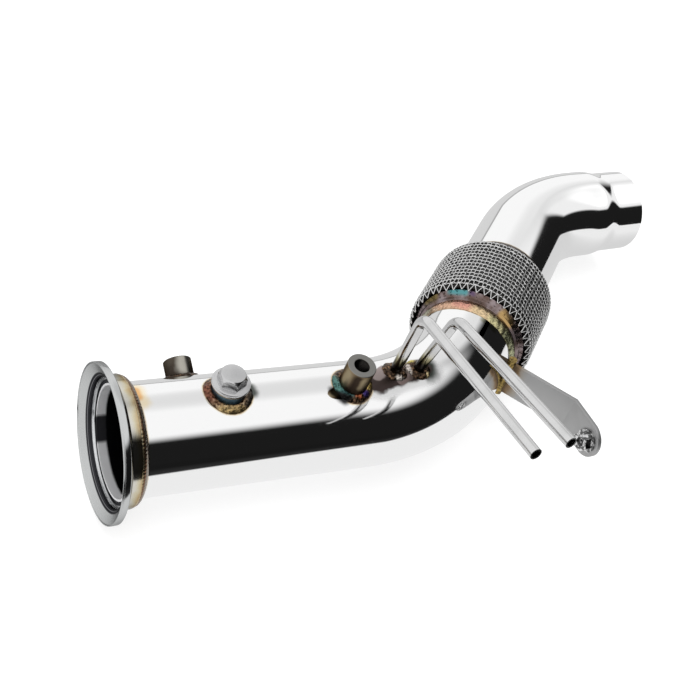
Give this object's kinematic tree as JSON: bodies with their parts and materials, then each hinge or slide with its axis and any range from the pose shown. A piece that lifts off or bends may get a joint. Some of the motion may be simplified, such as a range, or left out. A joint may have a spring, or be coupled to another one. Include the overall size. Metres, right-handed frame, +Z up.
{
  "type": "turbo downpipe",
  "caption": "Polished exhaust downpipe with a clamp flange, sensor bosses, pressure tubes, a support bracket, a braided flex joint and a swaged outlet.",
  "frame": {"origin": "centre of the inlet flange's front face", "axes": "+X along the inlet pipe, downstream; the pipe's S lies in the XY plane and bends towards +Y; +Z up, towards the sensor bosses"},
  "size_m": [0.5455, 0.377, 0.167],
  "materials": {
    "polished_pipe": "mirror polished stainless steel",
    "flange_steel": "fine turned",
    "weld_metal": "heat tinted, straw to blue",
    "mesh_wire": "knitted bright wire",
    "formed_steel": "satin sheet",
    "boss_steel": "turned, heat tinted",
    "plug_steel": "bright plated",
    "washer_steel": "dull",
    "tube_steel": "bright drawn",
    "bracket_plate": "matt rolled"
  },
  "bodies": {
    "root": {"main_pipe": "polished_pipe", "inlet_flange": "flange_steel", "inlet_weld": "weld_metal", "flex_collar_front": "formed_steel", "flex_weld_front": "weld_metal", "flex_collar_rear": "formed_steel", "flex_weld_rear": "weld_metal", "flex_mesh_sleeve": "mesh_wire", "flex_bellows": "formed_steel", "flex_liner": "formed_steel", "tail_pipe": "polished_pipe", "plug_boss": "boss_steel", "plug_boss_weld": "weld_metal", "plug_washer": "washer_steel", "lambda_plug": "plug_steel", "probe_boss": "boss_steel", "probe_boss_weld": "weld_metal", "rear_boss": "boss_steel", "rear_boss_weld": "weld_metal", "pressure_front_tube": "tube_steel", "pressure_front_tube_weld": "weld_metal", "pressure_rear_tube": "tube_steel", "pressure_rear_tube_weld": "weld_metal", "bracket_strap": "bracket_plate", "bracket_nut": "plug_steel", "bracket_weld": "weld_metal"}
  },
  "joints": []
}
